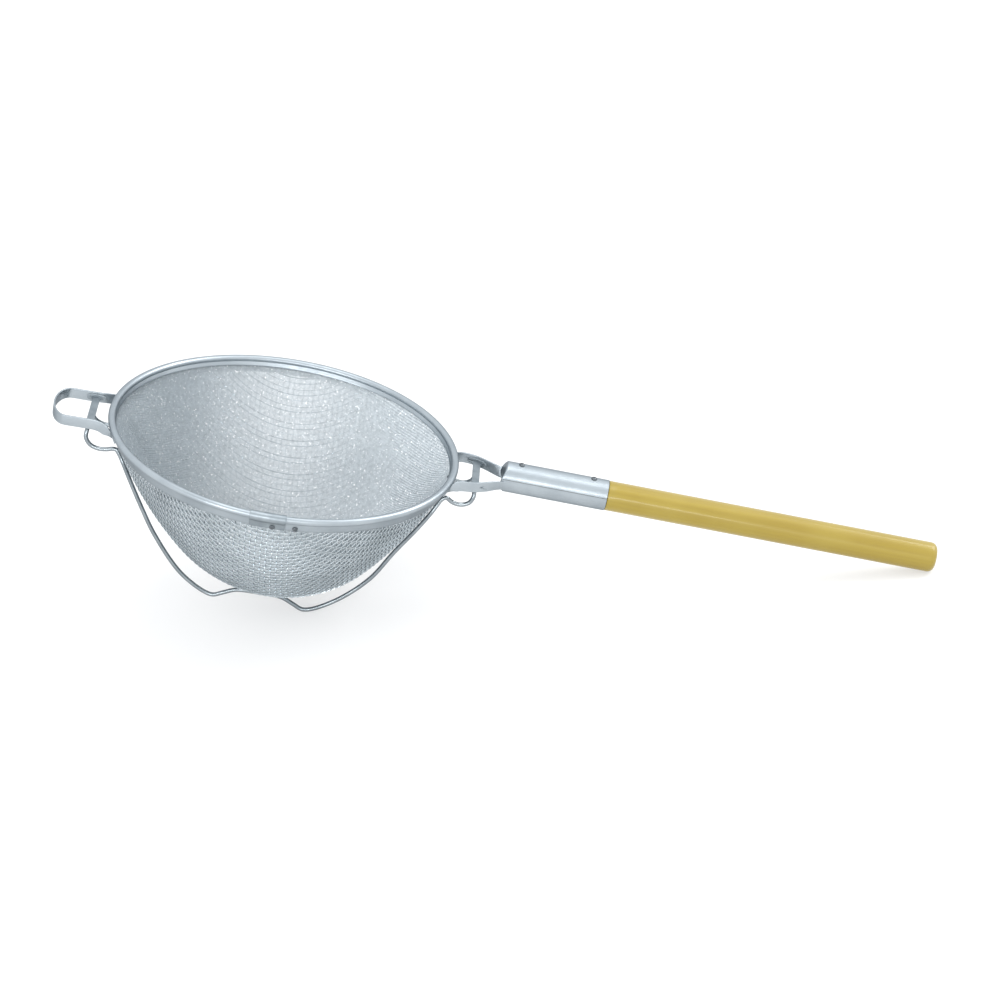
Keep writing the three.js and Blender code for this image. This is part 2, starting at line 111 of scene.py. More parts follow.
# The strainer is made with its rim level and then lies on its two feet and the handle's end. The rim wire's
# box gives the middle of the rim, and the hook points straight away from the handle in the rim's plane.
mounts = {mount["name"]: mount for mount in frame["record"]["mounts"]}
rim_middle = (np.array(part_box("rim_wire")[0]) + np.array(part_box("rim_wire")[1])) / 2
toward_handle = -np.array(mounts["hook_hang"]["axis"])
across = np.array((0.0, 1.0, 0.0))
bowl_axes = np.stack([toward_handle, across, np.cross(toward_handle, across)])


def lay_down(points):
    """The rim's middle plus each length along the tipped strainer's own three directions."""
    return rim_middle + points @ bowl_axes


def enclosed(grid, ring):
    """The signed volume inside a grid's skin: the sum of each quad's area vector times its place from the
    middle, over three. It is negative where the faces look inward."""
    here = grid - grid.reshape(-1, 3).mean(axis=0)
    ahead = np.roll(here, -1, axis=0)
    if not ring:
        here, ahead = here[:-1], ahead[:-1]
    beside, beyond = np.roll(here, -1, axis=1), np.roll(ahead, -1, axis=1)
    return np.sum((here + beyond) / 2 * np.cross(beyond - here, ahead - beside)) / 6


def skinned(name, skins):
    """A mesh of closed skins. A skin is a grid of points: its columns run round and close on themselves, and
    its rows close too if it is a ring, or else end in flat caps. A grid that is inside out has its columns
    turned back. Edges sharper than the crease angle stay sharp."""
    points, corners, sizes = [], [], []
    first = 0
    for grid, ring in skins:
        if enclosed(grid, ring) < 0:
            grid = grid[:, ::-1]
        rows, columns = grid.shape[:2]
        index = first + np.arange(rows * columns).reshape(rows, columns)
        here, ahead = index, np.roll(index, -1, axis=0)
        if not ring:
            here, ahead = here[:-1], ahead[:-1]
        quads = np.stack([here, np.roll(here, -1, 1), np.roll(ahead, -1, 1), ahead], axis=-1)
        corners.append(quads.ravel())
        sizes.append(np.full(here.size, 4))
        if not ring:
            corners.extend([index[0][::-1], index[-1]])
            sizes.append(np.full(2, columns))
        points.append(grid.reshape(-1, 3))
        first += rows * columns
    points, corners, sizes = (np.concatenate(part) for part in (points, corners, sizes))
    mesh = bpy.data.meshes.new(name)
    mesh.vertices.add(len(points))
    mesh.vertices.foreach_set("co", points.astype(np.float32).ravel())
    mesh.loops.add(len(corners))
    mesh.loops.foreach_set("vertex_index", corners.astype(np.int32))
    mesh.polygons.add(len(sizes))
    mesh.polygons.foreach_set("loop_start", (np.cumsum(sizes) - sizes).astype(np.int32))
    mesh.update(calc_edges=True)
    mesh.validate()
    mesh.shade_smooth()
    mesh.set_sharp_from_angle(angle=CREASE)
    return mesh


def fit(name, skins, finish, slot, *nodes):
    """Puts a finished piece into the strainer in the place of its plain solids."""
    made = bpy.data.objects.new(name, skinned(name, skins))
    made.data.materials.append(finish)
    scene.collection.objects.link(made)
    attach(made, "root")
    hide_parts(*nodes)


def full_turn(steps):
    """Angles that share out a full circle, without its end, which is its start."""
    return np.linspace(0, 2 * np.pi, steps, endpoint=False)


def carried_round(outline, turns):
    """An outline of (radius, height) points carried round the bowl's axis: a row of points for each angle."""
    radius, height = outline[:, 0], outline[:, 1]
    flat = radius * np.stack([np.cos(turns), np.sin(turns)])[..., None]
    return np.stack([flat[0], flat[1], np.broadcast_to(height, flat[0].shape)], axis=-1)


class Feed:
    """A value on its way through a finish's nodes. Arithmetic on it adds Math nodes, and node() adds any
    other node."""

    def __init__(self, tree, socket):
        self.tree = tree
        self.socket = socket

    @staticmethod
    def node(tree, kind, settings=None, inputs=None, output=0):
        """Adds a node of a kind, makes its settings, sets or links its inputs, and hands on one output."""
        made = tree.nodes.new("ShaderNode" + kind)
        for name, value in (settings or {}).items():
            setattr(made, name, value)
        for name, value in (inputs or {}).items():
            if isinstance(value, Feed):
                tree.links.new(value.socket, made.inputs[name])
            else:
                made.inputs[name].default_value = value
        return Feed(tree, made.outputs[output])

    def math(self, operation, *values):
        """Adds a Math node that works on the values in their order."""
        return Feed.node(self.tree, "Math", {"operation": operation}, dict(enumerate(values)))

    def __add__(self, other):
        return self.math("ADD", self, other)

    def __sub__(self, other):
        return self.math("SUBTRACT", self, other)

    def __rsub__(self, other):
        return self.math("SUBTRACT", other, self)

    def __mul__(self, other):
        return self.math("MULTIPLY", self, other)

    def spread(self, low, high):
        """Stretches low..high to 0..1 and stops there."""
        reach = {"Value": self, "From Min": low, "From Max": high, "To Min": 0.0, "To Max": 1.0}
        return Feed.node(self.tree, "MapRange", {"clamp": True}, reach)

    __radd__ = __add__
    __rmul__ = __mul__


def blended(tree, share, colour, other):
    """The first colour, going over to the other as the share rises to 1. On a Mix node that is set to colour,
    input 0 is the share, 6 and 7 are the colours, and output 2 is the result."""
    return Feed.node(tree, "Mix", {"data_type": "RGBA"}, {0: share, 6: colour, 7: other}, output=2)


def opened(name):
    """A new finish: its node tree and its surface node."""
    finish = bpy.data.materials.new(name)
    finish.use_nodes = True
    return finish, finish.node_tree, finish.node_tree.nodes["Principled BSDF"]


EDGE_TINT = (0.35, 0.36, 0.37, 1)
FROST_SCALE = 1600.0
# How fine the scattered specks of painted highlight are, per metre:
HIGHLIGHT_SPECK_SCALE = 620.0
SCRATCH_SCALE = (60.0, 2600.0, 2600.0)
# The white painted into the colour at those specks, a painted highlight rather than a colour of the tin:
PAINTED_HIGHLIGHT_COLOUR = (1.0, 1.0, 1.0, 1)


def tinned(name, colour, dull, roughness, cloud, streak=0.0, dimple=0.00012, painted_glint=0.0):
    """Hot-dipped tin. Clouds about as wide as `cloud` go from `colour` to `dull` under a fine frosty grain.
    `streak` is how strongly scratches along X show, `dimple` how high the surface rises and falls, and
    the glint argument how strongly scattered white specks of painted highlight show, where the tin is also
    smoother."""
    finish, tree, surface = opened(name)
    surface.inputs["Metallic"].default_value = 1.0
    surface.inputs["Specular Tint"].default_value = EDGE_TINT
    place = Feed.node(tree, "TexCoord", output="Object")
    clouds = Feed.node(tree, "TexNoise", None, {"Vector": place, "Scale": 1 / cloud, "Detail": 5.0})
    frost = Feed.node(tree, "TexNoise", None, {"Vector": place, "Scale": FROST_SCALE, "Detail": 2.0})
    drawn = Feed.node(tree, "Mapping", None, {"Vector": place, "Scale": SCRATCH_SCALE})
    scratches = Feed.node(tree, "TexNoise", None, {"Vector": drawn, "Scale": 1.0, "Detail": 3.0})
    scratches = scratches.spread(0.52, 0.70) * streak
    worn = clouds.spread(0.35, 0.68)
    shade = blended(tree, worn * 0.75 + frost * 0.25, colour, dull)
    # Painted highlight: scattered specks where the colour goes over to white, standing in for glints of
    # light. The same specks are also a little smoother.
    painted_highlight_specks = Feed.node(tree, "TexNoise", None, {"Vector": place, "Scale": HIGHLIGHT_SPECK_SCALE, "Detail": 1.0})
    painted_highlight_specks = painted_highlight_specks.spread(0.66, 0.71) * painted_glint
    shade = blended(tree, painted_highlight_specks, shade, PAINTED_HIGHLIGHT_COLOUR)
    tree.links.new(shade.socket, surface.inputs["Base Color"])
    polish = worn * 0.10 + frost * 0.10 + scratches * 0.25 - painted_highlight_specks * 0.2 + (roughness - 0.10)
    tree.links.new(polish.socket, surface.inputs["Roughness"])
    height = frost * 0.5 + clouds * 1.5 - scratches
    bump = Feed.node(tree, "Bump", None, {"Strength": 0.35, "Distance": dimple, "Height": height})
    tree.links.new(bump.socket, surface.inputs["Normal"])
    return finish


bright_wire = tinned(
    "bright_wire",
    colour=(0.34, 0.375, 0.395, 1),
    dull=(0.22, 0.25, 0.27, 1),
    roughness=0.22,
    cloud=0.012,
)
whole_turn = full_turn(ROUND_STEPS)


def hoop(radius, thickness, sides=16):
    """A ring: a circle of radius `thickness` carried round at `radius`."""
    around = full_turn(sides)
    circle = np.column_stack([radius + thickness * np.cos(around), thickness * np.sin(around)])
    return carried_round(circle, whole_turn)


rim_wire = lay_down(hoop(bead_circle, RIM_WIRE_RADIUS))
fit("rim_core_wire", [(rim_wire, True)], bright_wire, "tinned_wire", "rim_wire")


# ---- Rim band ----
# One strip of tinned sheet rolled over the rim wire to a bead, with a short skirt down the inside of the wall
# and a longer one down the outside. The two cloths are gripped between the skirts.
SHEET = 0.0005
SKIRT_LENGTH = 0.0095
INNER_SKIRT_LENGTH = 0.0050
SKIRT_OFFSET = 0.0017
THROAT_SLOPE = math.radians(24)
down_slope = np.array((-math.sin(THROAT_SLOPE), -math.cos(THROAT_SLOPE)))
out_of_slope = np.array((math.cos(THROAT_SLOPE), -math.sin(THROAT_SLOPE)))
OUTER_ARC_STEPS, INNER_ARC_STEPS = 32, 24


def throat(down, out):
    """(radius, height) at a distance down the rim's slope from the bead's middle and square out of it."""
    down, out = np.atleast_1d(down)[:, None], np.atleast_1d(out)[:, None]
    return np.array((bead_circle, 0.0)) + down * down_slope + out * out_of_slope


def bead_arc(radius, first, last, steps):
    """An arc round the bead, in degrees from straight down the slope, going outward."""
    angle = np.radians(np.linspace(first, last, steps))
    return throat(radius * np.cos(angle), radius * np.sin(angle))


def rolled_edge(down, out, steps=5):
    """A half circle that rounds the sheet's cut edge, from its inner face (at `out`) to its outer one, less
    the two points where it meets them."""
    angle = np.linspace(0, np.pi, steps)[1:-1]
    return throat(down + np.sin(angle) * SHEET / 2, out + (1 - np.cos(angle)) / 2 * SHEET)


# The outline runs up the outer skirt, round the bead and down the inner skirt, and back along the sheet's
# other face.
skirt_turn = math.degrees(math.asin(SKIRT_OFFSET / BEAD_RADIUS))
hem_turn = math.degrees(math.asin((SKIRT_OFFSET - SHEET) / (BEAD_RADIUS - SHEET)))
skirt_downs = np.linspace(SKIRT_LENGTH, BEAD_RADIUS, 6)
inner_downs = np.linspace(INNER_SKIRT_LENGTH, BEAD_RADIUS, 4)
band_outline = np.concatenate([
    throat(skirt_downs, SKIRT_OFFSET),
    bead_arc(BEAD_RADIUS, skirt_turn, 360 - skirt_turn, OUTER_ARC_STEPS),
    throat(inner_downs[::-1], -SKIRT_OFFSET),
    rolled_edge(INNER_SKIRT_LENGTH, -SKIRT_OFFSET),
    throat(inner_downs, SHEET - SKIRT_OFFSET),
    bead_arc(BEAD_RADIUS - SHEET, 360 - hem_turn, hem_turn, INNER_ARC_STEPS),
    throat(skirt_downs[::-1], SKIRT_OFFSET - SHEET),
    rolled_edge(SKIRT_LENGTH, SKIRT_OFFSET - SHEET),
])

satin_sheet = tinned(
    "satin_sheet",
    colour=(0.43, 0.475, 0.505, 1),
    dull=(0.34, 0.38, 0.41, 1),
    roughness=0.34,
    cloud=0.020,
    streak=0.5,
)
band = lay_down(carried_round(band_outline, whole_turn))
fit("rolled_rim_band", [(band, True)], satin_sheet, "tinned_sheet", "rim_band")


# ---- Woven cloths ----
# Two bowls pressed from plain-woven tinned wire: the coarse one outside bears the load and the fine one
# inside does the straining. Each wire runs over one crossing wire and under the next.
BOWL_DEPTH = 0.1185
LOWER_SLOPE = math.radians(40)
BOTTOM_SHIFT = 0.006
BOTTOM_CURL = 1.4
CLOTH_TOP = 0.003
NEXT_TO_NOTHING = 1e-9
wall_top = throat(SKIRT_LENGTH, 0)[0]
fall = BOWL_DEPTH + wall_top[1]

# The wall is a wide arc from the skirts' slope to the lower slope, and the bottom a smaller arc that meets it
# smoothly and closes on the axis. Radius and fall together give the two radii.
wall_radius, bottom_radius = np.linalg.solve(
    [
        [math.cos(THROAT_SLOPE) - math.cos(LOWER_SLOPE), math.cos(LOWER_SLOPE)],
        [math.sin(LOWER_SLOPE) - math.sin(THROAT_SLOPE), 1 - math.sin(LOWER_SLOPE)],
    ],
    [wall_top[0], fall],
)


def square_out(slope):
    """The direction (radius, height) that is square out of the wall at each slope."""
    return np.column_stack([np.cos(slope), -np.sin(slope)])


def bowl_section(out, steps=400):
    """The bowl's profile from its axis to its top edge at an offset out of the wall, in equal steps of slope
    on the arcs: its radius, height, slope and length from the axis, each an array."""
    lower = np.linspace(np.pi / 2, LOWER_SLOPE, steps)
    upper = np.linspace(LOWER_SLOPE, THROAT_SLOPE, steps)[1:]
    bottom = np.array((0.0, bottom_radius - BOWL_DEPTH)) + square_out(lower) * (bottom_radius + out)
    wall = wall_top - out_of_slope * wall_radius + square_out(upper) * (wall_radius + out)
    straight = throat(np.linspace(SKIRT_LENGTH, CLOTH_TOP, 20)[1:], out)
    line = np.concatenate([bottom, wall, straight])
    slope = np.concatenate([lower, upper, np.full(len(straight), THROAT_SLOPE)])
    length = np.concatenate([[0.0], np.cumsum(np.hypot(*np.diff(line, axis=0).T))])
    return line[:, 0], line[:, 1], slope, length


def woven(out, wave, pitch, crossed, wire, steps_per_pitch, sides, crossing, part, parts):
    """The wires of one direction of a cloth. Wire k lies in the upright plane that is k pitches from the
    axis, measured along the bowl, and `crossed` is the pitch of the wires that it crosses. At each length
    along the bowl it stands out of it by `wave` times the cosine of pi times that length over `crossed`, with
    the sign changing from wire to wire, so that the two directions pass over and under each other. `crossing`
    is 1 for the first direction and -1 for the other, whose X and Y change places. Last, every point moves
    toward the handle by a power of its depth, which sets the bowl's bottom to one side."""
    radius, height, slope, length = bowl_section(out)
    most = int(length[-1] / pitch)
    numbers = np.array_split(np.arange(-most, most + 1), parts)[part]
    around = full_turn(sides)
    skins = []
    for number in numbers:
        aside = math.copysign(np.interp(abs(number) * pitch, length, radius), number)
        reach = math.sqrt(max(radius[-1] ** 2 - aside ** 2, 0.0))
        steps = int(np.interp(reach, radius, length) / crossed * steps_per_pitch)
        if steps < steps_per_pitch:
            continue
        travelled = np.arange(-steps, steps + 1) * crossed / steps_per_pitch
        along = np.sign(travelled) * np.interp(np.abs(travelled), length, radius)
        distance = np.hypot(along, aside)
        tilt = np.interp(distance, radius, slope)
        level = np.interp(distance, radius, height)
        away = np.cos(tilt) / np.maximum(distance, NEXT_TO_NOTHING)
        outward = np.column_stack([along * away, aside * away, -np.sin(tilt)])
        over_or_under = 1 - 2 * (number % 2)
        rise = wave * np.cos(np.pi * travelled / crossed) * over_or_under * crossing
        middle = np.column_stack([along, np.full(len(along), aside), level]) + outward * rise[:, None]
        ahead = np.gradient(middle, axis=0)
        ahead /= np.linalg.norm(ahead, axis=1)[:, None]
        beside = np.cross(ahead, outward)
        beside /= np.linalg.norm(beside, axis=1)[:, None]
        above = np.cross(beside, ahead)
        round_wire = np.cos(around)[:, None] * beside[:, None] + np.sin(around)[:, None] * above[:, None]
        tube = middle[:, None] + round_wire * wire / 2
        if crossing < 0:
            tube = tube[..., [1, 0, 2]]
        depth = np.clip((wall_top[1] - tube[..., 2]) / fall, 0, None)
        tube[..., 0] += BOTTOM_SHIFT * depth ** BOTTOM_CURL
        skins.append((lay_down(tube), False))
    return skins


COARSE = {"out": 0.00035, "wire": 0.00085, "wave": 0.000425, "steps_per_pitch": 4, "sides": 5}
FINE = {"out": -0.0009, "wire": 0.00070, "wave": 0.00010, "steps_per_pitch": 1, "sides": 3}
COARSE_PITCHES = (0.00435, 0.0040)
FINE_PITCHES = (0.0010, 0.0010)
COARSE_PARTS, FINE_PARTS = 2, 5
coarse_wire = tinned(
    "coarse_cloth_wire",
    colour=(0.72, 0.77, 0.80, 1),
    dull=(0.50, 0.545, 0.57, 1),
    roughness=0.22,
    cloud=0.030,
)
# The fine cloth carries the scattered white specks of painted highlight.
fine_wire = tinned(
    "fine_cloth_wire",
    colour=(0.64, 0.68, 0.705, 1),
    dull=(0.53, 0.57, 0.595, 1),
    roughness=0.64,
    cloud=0.0028,
    dimple=0.0008,
    painted_glint=1.0,
)

# Each direction of a cloth is made in parts, so that no piece grows too heavy.
for cloth, sizes, pitches, parts, finish, slot, node in (
    ("coarse", COARSE, COARSE_PITCHES, COARSE_PARTS, coarse_wire, "coarse_cloth", "outer_sieve"),
    ("fine", FINE, FINE_PITCHES, FINE_PARTS, fine_wire, "fine_cloth", "inner_sieve"),
):
    for direction, crossing in (("warp", 1), ("weft", -1)):
        own, other = pitches[::crossing]
        for part in range(parts):
            skins = woven(**sizes, pitch=own, crossed=other, crossing=crossing, part=part, parts=parts)
            fit(f"{cloth}_{direction}_{part + 1}", skins, finish, slot, node)


# ---- Splice sleeve and rivets ----
# The band's two ends meet on the near side under a short sleeve of duller sheet, closed over the bead. Steel
# rivets hold them: one goes through the sleeve, one stands beside it, and one sits between the socket's legs.
GAP = 0.0003
SPLICE_FROM, SPLICE_TO = -0.0144, 0.0115
SPLICE_SHEET = 0.0006
SLEEVE_TURN = 235
SLEEVE_SEAT = 0.0001
SLEEVE_SHORTER = 0.0005
SLEEVE_ROUNDING = 0.0004
SLEEVE_STEPS = 24
NEAR_SIDE = -math.pi / 2
sleeve_inside = BEAD_RADIUS + SLEEVE_SEAT
sleeve_outside = BEAD_RADIUS + GAP + SPLICE_SHEET
sleeve_offset = SKIRT_OFFSET + SLEEVE_SEAT
sleeve_downs = np.linspace(SKIRT_LENGTH - SLEEVE_SHORTER, sleeve_outside, 5)


def sleeve_outline(trim):
    """The sleeve's section, drawn in by `trim` on its outer face and at its two edges, as its ends are
    rounded."""
    outside = sleeve_outside - trim
    offset = SKIRT_OFFSET + GAP + SPLICE_SHEET - trim
    outer_turn = math.degrees(math.asin(offset / outside))
    inner_turn = math.degrees(math.asin(sleeve_offset / sleeve_inside))
    return np.concatenate([
        throat(sleeve_downs - trim, offset),
        bead_arc(outside, outer_turn, SLEEVE_TURN - math.degrees(trim / outside), SLEEVE_STEPS),
        bead_arc(sleeve_inside, SLEEVE_TURN, inner_turn, SLEEVE_STEPS),
        throat(sleeve_downs[::-1], sleeve_offset),
    ])


end_rounding = np.linspace(0, np.pi / 2, 5)
end_trims = (1 - np.sin(end_rounding)) * SLEEVE_ROUNDING
sleeve_turns = NEAR_SIDE + np.concatenate([
    SPLICE_FROM + (1 - np.cos(end_rounding)) * SLEEVE_ROUNDING,
    np.linspace(SPLICE_FROM, SPLICE_TO, SLEEVE_STEPS + 2)[1:-1],
    SPLICE_TO - (1 - np.cos(end_rounding[::-1])) * SLEEVE_ROUNDING,
]) / bead_circle
sleeve_trims = np.concatenate([end_trims, np.zeros(SLEEVE_STEPS), end_trims[::-1]])
sleeve = np.concatenate([
    carried_round(sleeve_outline(trim), np.array([angle])) for trim, angle in zip(sleeve_trims, sleeve_turns)
])
dull_sheet = tinned(
    "dull_sheet",
    colour=(0.34, 0.38, 0.405, 1),
    dull=(0.24, 0.275, 0.30, 1),
    roughness=0.42,
    cloud=0.010,
    streak=0.3,
)
dark_steel = tinned(
    "dark_steel",
    colour=(0.20, 0.22, 0.235, 1),
    dull=(0.09, 0.10, 0.11, 1),
    roughness=0.22,
    cloud=0.004,
)
fit("band_splice_sleeve", [(lay_down(sleeve), False)], dull_sheet, "tinned_sheet", "splice_sleeve")


DOME_TIP = 0.02
UNDER_HEAD = 0.96


def turned_pin(profile, sides=32):
    """A pin turned about its own length: each (radius, height) of its profile becomes a circle, a row of the
    grid that runs up the pin."""
    around = full_turn(sides)
    radius, height = profile[:, :1], profile[:, 1:]
    return np.stack([
        radius * np.cos(around),
        radius * np.sin(around),
        np.broadcast_to(height, (len(profile), sides)),
    ], axis=-1)


def domed(radius, height, base, steps=9):
    """The profile of a hammered head: a quarter of an oval, from its rim at `base` up to the axis."""
    angle = np.linspace(0, np.pi / 2, steps)
    dome = np.column_stack([radius * np.cos(angle), base + height * np.sin(angle)])
    dome[-1, 0] = radius * DOME_TIP
    return dome


RIVET_HEAD, RIVET_DOME, RIVET_SHANK, RIVET_TAIL = 0.0020, 0.0010, 0.0008, 0.0014
RIVET_SEAT, RIVET_RIM = 0.0001, 0.0003
RIVET_DOWN = 0.0068
TAIL_SEAT, TAIL_DOME = -0.00115, 0.0006

# A rivet's angle is in degrees from the handle toward +Y, and its stack is what its head sits on.
for name, node, angle, stack in (
    ("sleeve_rivet", "splice_rivet_left", -88.9, SKIRT_OFFSET + GAP + SPLICE_SHEET),
    ("band_rivet", "splice_rivet_right", -81.5, SKIRT_OFFSET),
    ("bracket_rivet", "socket_rivet", -3.2, SKIRT_OFFSET),
):
    profile = np.concatenate([
        domed(RIVET_TAIL, -TAIL_DOME, TAIL_SEAT)[::-1],
        [(RIVET_SHANK, TAIL_SEAT), (RIVET_SHANK, stack + RIVET_SEAT)],
        [(RIVET_HEAD * UNDER_HEAD, stack + RIVET_SEAT)],
        domed(RIVET_HEAD, RIVET_DOME, stack + RIVET_RIM),
    ])
    pin = turned_pin(profile)

    # The pin's length points square out of the skirt, and then it is turned round the bowl by its angle.
    at = throat(RIVET_DOWN, 0)[0]
    outward = pin[..., 2]
    upright = pin[..., 0]
    radial = at[0] + outward * out_of_slope[0] - upright * down_slope[0]
    height = at[1] + outward * out_of_slope[1] - upright * down_slope[1]
    from_handle = math.radians(angle)
    placed = np.stack([
        radial * math.cos(from_handle) - pin[..., 1] * math.sin(from_handle),
        radial * math.sin(from_handle) + pin[..., 1] * math.cos(from_handle),
        height,
    ], axis=-1)
    fit(name, [(lay_down(placed), False)], dark_steel, "tinned_wire", node)


# ---- Front hook ----
# A strap of tinned sheet bent to a U, by which the strainer hangs or rests on a pail's rim. Its two ends
# flare outward to lie along the band and are soldered to the outer skirt.
STRAP = 0.0012
STRAP_HEIGHT = 0.008
HOOK_ARM = 0.0225
HOOK_BEND = 0.1595
HOOK_REACH = 0.1702
FOOT_LENGTH = 0.010
FOOT_HEIGHT = 0.0058
FOOT_DOWN = 0.006
HOOK_FOOT_SIDE = 0.028
FOOT_SEAT = 0.0001
FOOT_OUT = SKIRT_OFFSET + STRAP / 2 + FOOT_SEAT
FOOT_RISE = 0.0004
FOOT_BLEND_FROM, FOOT_BLEND_TO = -0.001825, 0.002675
BOW_POINTS, HOOK_STEPS = 15, 8


def smooth_line(points, steps, closed=False):
    """A centripetal Catmull-Rom curve through the points: each stretch is the cubic whose end tangents come
    from its neighbours, weighted by the square roots of the distances."""
    points = np.asarray(points, float)
    if not closed:
        points = np.concatenate([[2 * points[0] - points[1]], points, [2 * points[-1] - points[-2]]])
    before, start, end, after = (np.roll(points, 1 - i, axis=0) for i in range(4))
    if not closed:
        before, start, end, after = (point[1:-2] for point in (before, start, end, after))
    first, own, last = (
        np.sqrt(np.linalg.norm(stop - go, axis=1))[:, None]
        for go, stop in ((before, start), (start, end), (end, after))
    )
    leave = ((start - before) / first - (end - before) / (first + own) + (end - start) / own) * own
    arrive = ((end - start) / own - (after - start) / (own + last) + (after - end) / last) * own
    share = np.linspace(0, 1, steps, endpoint=False)[None, :, None]
    start, end, leave, arrive = (part[:, None] for part in (start, end, leave, arrive))
    square = (3 * (end - start) - 2 * leave - arrive) * share**2
    cube = (2 * (start - end) + leave + arrive) * share**3
    line = (start + leave * share + square + cube).reshape(-1, points.shape[1])
    return line if closed else np.concatenate([line, points[-2:-1]])


def strapped(middle, up, thickness, height, corner=0.0003, steps=4):
    """A strap: at each point of its middle line a rounded oblong stands square to the line, `thickness`
    through and `height` along `up`. Each row of the grid is one oblong."""
    ahead = np.gradient(middle, axis=0)
    up = up - ahead * (np.sum(up * ahead, axis=1) / np.sum(ahead * ahead, axis=1))[:, None]
    up /= np.linalg.norm(up, axis=1)[:, None]
    side = np.cross(ahead, up)
    side /= np.linalg.norm(side, axis=1)[:, None]
    quarter = np.linspace(0, np.pi / 2, steps)
    angle = np.concatenate([quarter + np.pi / 2 * k for k in range(4)])
    right, top = np.repeat([1, -1, -1, 1], steps), np.repeat([1, 1, -1, -1], steps)
    thickness, height = (np.broadcast_to(size, len(middle))[:, None] for size in (thickness, height))
    through = right * (thickness / 2 - corner) + corner * np.cos(angle)
    upward = top * (height / 2 - corner) + corner * np.sin(angle)
    return middle[:, None] + side[:, None] * through[..., None] + up[:, None] * upward[..., None]


def on_band(angle, down, out):
    """The point on the rim's section at (down, out), turned by an angle from the handle toward +Y."""
    radius, height = throat(down, out)[0]
    return np.array((radius * math.cos(angle), radius * math.sin(angle), height))


def foot_points(side, end):
    """Points of a soldered foot, from its tip along the skirt in to the strap, where it starts to rise off
    the band. `end` is 1 by the handle and -1 by the hook."""
    start = math.asin(side / (bead_circle + FOOT_OUT))
    points = [
        on_band(start + share * FOOT_LENGTH / bead_circle, FOOT_DOWN, FOOT_OUT + rise)
        for share, rise in ((1, 0), (0.7, 0), (0.4, 0), (0.17, FOOT_RISE))
    ]
    return [point * (end, 1, 1) for point in points]


def eased(share):
    """0 to 1 with a level start and end: three times the square less twice the cube."""
    return share * share * (3 - 2 * share)


def foot_share(middle):
    """1 on the foot and 0 on the strap, going over smoothly within a few millimetres at the band's edge."""
    beyond = np.hypot(middle[:, 0], middle[:, 1]) - bead_circle - BEAD_RADIUS
    past = (beyond - FOOT_BLEND_FROM) / (FOOT_BLEND_TO - FOOT_BLEND_FROM)
    return eased(1 - np.clip(past, 0, 1))[:, None]


def slope_up(middle):
    """The direction up the skirt's slope at each point."""
    away = middle[:, :2] / np.linalg.norm(middle[:, :2], axis=1)[:, None]
    return np.column_stack([away * -down_slope[0], np.full(len(middle), -down_slope[1])])


hook_half = foot_points(HOOK_FOOT_SIDE, -1) + [
    (-0.1304, 0.0256, -0.0050),
    (-0.1336, 0.0239, -0.0043),
    (-0.1375, 0.0228, -STRAP_HEIGHT / 2),
    (-0.1420, HOOK_ARM, -STRAP_HEIGHT / 2),
    (-0.1510, HOOK_ARM, -STRAP_HEIGHT / 2),
]

# The hook's bow is half an oval: as wide as the arms, and as deep as it reaches past them.
bend = np.linspace(0, np.pi, BOW_POINTS)
hook_bend = np.column_stack([
    -HOOK_BEND - (HOOK_REACH - HOOK_BEND) * np.sin(bend),
    HOOK_ARM * np.cos(bend),
    np.full(len(bend), -STRAP_HEIGHT / 2),
])
other_half = [np.array(point) * (1, -1, 1) for point in hook_half[::-1]]
hook_line = smooth_line(np.concatenate([hook_half, hook_bend, other_half]), HOOK_STEPS)
share = foot_share(hook_line)
hook = strapped(
    hook_line,
    share * slope_up(hook_line) + (1 - share) * (0, 0, 1),
    STRAP,
    (share * FOOT_HEIGHT + (1 - share) * STRAP_HEIGHT)[:, 0],
)
fit("hanging_hook", [(lay_down(hook), False)], satin_sheet, "tinned_sheet", "front_hook")


# ---- Cross ties ----
# A stamped tie spans the hook's arms and another the socket's legs. Each is a flat web that flares into a
# flange bent along either strap, spot-welded on, and the wire cradle hangs from it.
TIE_SHEET = 0.0008
TIE_WIDTH = 0.0056
TIE_FILLET = 0.004
FLANGE_LENGTH = 0.014
FLANGE_HEIGHT = 0.005
TIE_LEVEL = 0.004
HOOK_TIE_AT = 0.1417
WEB_STEPS, FLANGE_STEPS = 61, 25
FLANGE_TIP = 0.98


def cross_tie(at, level, flare, half_span):
    """A web carried across from strap to strap, its width growing by a quarter circle of radius `flare` at
    each end, and a flange along each strap, rounded off at its ends by a sixth power. half_span(x) is how far
    the strap's inner face lies from the middle."""
    reach = float(half_span(np.array([at]))[0]) - TIE_SHEET / 2
    y = reach * np.sin(np.linspace(-np.pi / 2, np.pi / 2, WEB_STEPS))
    near_end = np.clip(1 - (reach - np.abs(y)) / flare, 0, 1)
    width = TIE_WIDTH + 2 * flare * (1 - np.sqrt(1 - near_end**2))
    middle = np.column_stack([np.full(len(y), at), y, np.full(len(y), level)])
    skins = [strapped(middle, np.tile((1.0, 0.0, 0.0), (len(y), 1)), TIE_SHEET, width)]
    x = np.linspace(at - FLANGE_LENGTH / 2, at + FLANGE_LENGTH / 2, FLANGE_STEPS)
    height = FLANGE_HEIGHT * np.sqrt(1 - (np.linspace(-1, 1, FLANGE_STEPS) * FLANGE_TIP) ** 6)
    for side in (1, -1):
        line = np.column_stack([x, side * (half_span(x) - TIE_SHEET / 2), np.full(len(x), level)])
        skins.append(strapped(line, np.tile((0.0, 0.0, 1.0), (len(x), 1)), TIE_SHEET, height))
    return skins


def hook_inner_face(x):
    """The hook's arms run level and straight, so their inner face is as far out at every x."""
    return np.full(len(x), HOOK_ARM - STRAP / 2)


hook_tie = cross_tie(-HOOK_TIE_AT, -TIE_LEVEL, TIE_FILLET, hook_inner_face)
fit("hook_cross_tie", [(lay_down(skin), False) for skin in hook_tie], dull_sheet, "tinned_sheet", "hook_tie")


